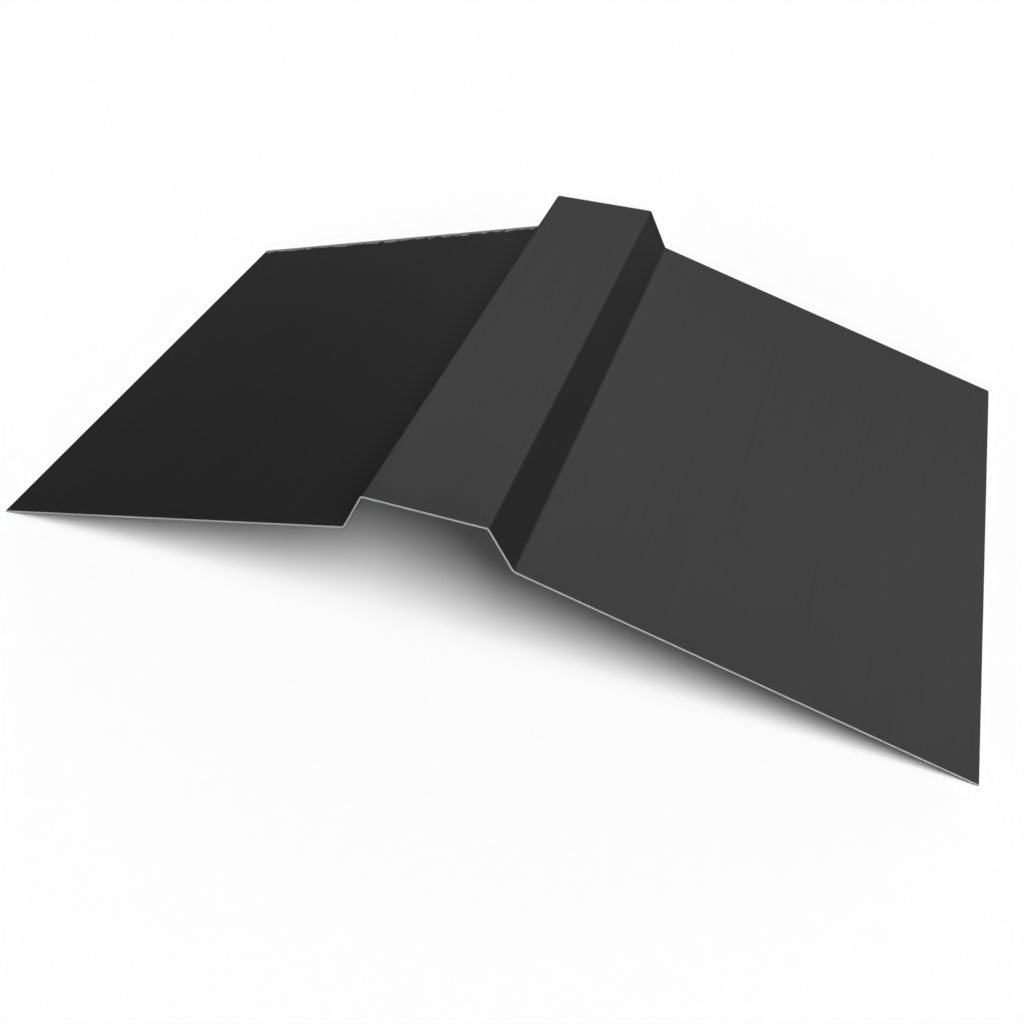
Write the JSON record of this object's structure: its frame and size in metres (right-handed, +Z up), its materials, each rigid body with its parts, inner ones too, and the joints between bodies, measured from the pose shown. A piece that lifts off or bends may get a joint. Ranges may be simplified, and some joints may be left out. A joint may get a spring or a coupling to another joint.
{
  "type": "roof ridge cap",
  "caption": "Raised flat-topped ridge cap folded from painted sheet metal, with plain sloping wings that lap the roof on each side of the ridge.",
  "frame": {"origin": "centre of the bottom of the bounding box, on the floor under the middle of the crown", "axes": "+X across the roof, +Y along the ridge, +Z up"},
  "size_m": [0.4666, 0.267, 0.0765],
  "materials": {
    "painted_sheet": "matt charcoal coil coating, with a grey backing coat underneath and bare cut edges"
  },
  "bodies": {
    "root": {"ridge_cap": "painted_sheet"}
  },
  "joints": []
}
